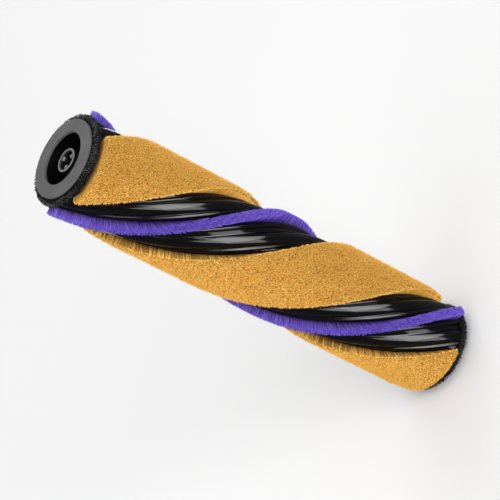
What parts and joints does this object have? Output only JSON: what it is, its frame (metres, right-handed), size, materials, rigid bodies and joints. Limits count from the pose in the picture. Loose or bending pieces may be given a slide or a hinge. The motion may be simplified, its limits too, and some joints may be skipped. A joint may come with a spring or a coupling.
{
  "type": "vacuum roller brush",
  "caption": "Cylindrical floor roller with helical plush and bristle strips on a ribbed core, a lugged drive socket at one end and a bearing at the other.",
  "frame": {"origin": "centre of the idle end's face, on the surface that the roller stands on", "axes": "+Z along the roller's axis from the idle end up to the drive end"},
  "size_m": [0.05, 0.05, 0.233],
  "materials": {
    "core_black": "gloss moulded black",
    "plush_gold": "dense cut pile",
    "bristle_purple": "fine nylon bristle",
    "carrier_black": "plain moulded",
    "cap_black": "satin moulded black",
    "ring_grey": "matt moulded grey",
    "socket_grey": "satin moulded grey",
    "fringe_black": "short black bristle",
    "bearing_steel": "ground steel",
    "cage_nylon": "natural nylon",
    "shield_steel": "pressed sheet",
    "circlip_steel": "dark phosphated steel",
    "bush_nylon": "moulded dark grey"
  },
  "bodies": {
    "roller": {"roller_core": "core_black", "plush_strip_a": "plush_gold", "plush_strip_b": "plush_gold", "bristle_strip_a": "bristle_purple", "bristle_strip_b": "bristle_purple", "bristle_carrier_a": "carrier_black", "bristle_carrier_b": "carrier_black", "drive_end_cap": "cap_black", "idle_end_cap": "cap_black", "drive_face_ring": "ring_grey", "idle_face_ring": "ring_grey", "drive_socket": "socket_grey", "drive_fringe_ring": "fringe_black", "idle_fringe_ring": "fringe_black", "bearing_outer_ring": "bearing_steel", "bearing_shield_outer": "shield_steel", "bearing_shield_inner": "shield_steel", "bearing_circlip": "circlip_steel"},
    "bush": {"axle_bush": "bush_nylon", "bearing_inner_ring": "bearing_steel"},
    "cage": {"bearing_cage": "cage_nylon", "bearing_balls": "bearing_steel"}
  },
  "joints": [
    {"name": "bush_spin", "type": "hinge", "parent": "roller", "child": "bush", "pos_m": [0, 0, 0.009], "axis": [0, 0, 1], "continuous": true},
    {"name": "cage_orbit", "type": "hinge", "parent": "roller", "child": "cage", "pos_m": [0, 0, 0.009], "axis": [0, 0, 1], "continuous": true}
  ],
  "couplings": [
    {"joint": "cage_orbit", "follows": "bush_spin", "ratio": 0.36767}
  ]
}
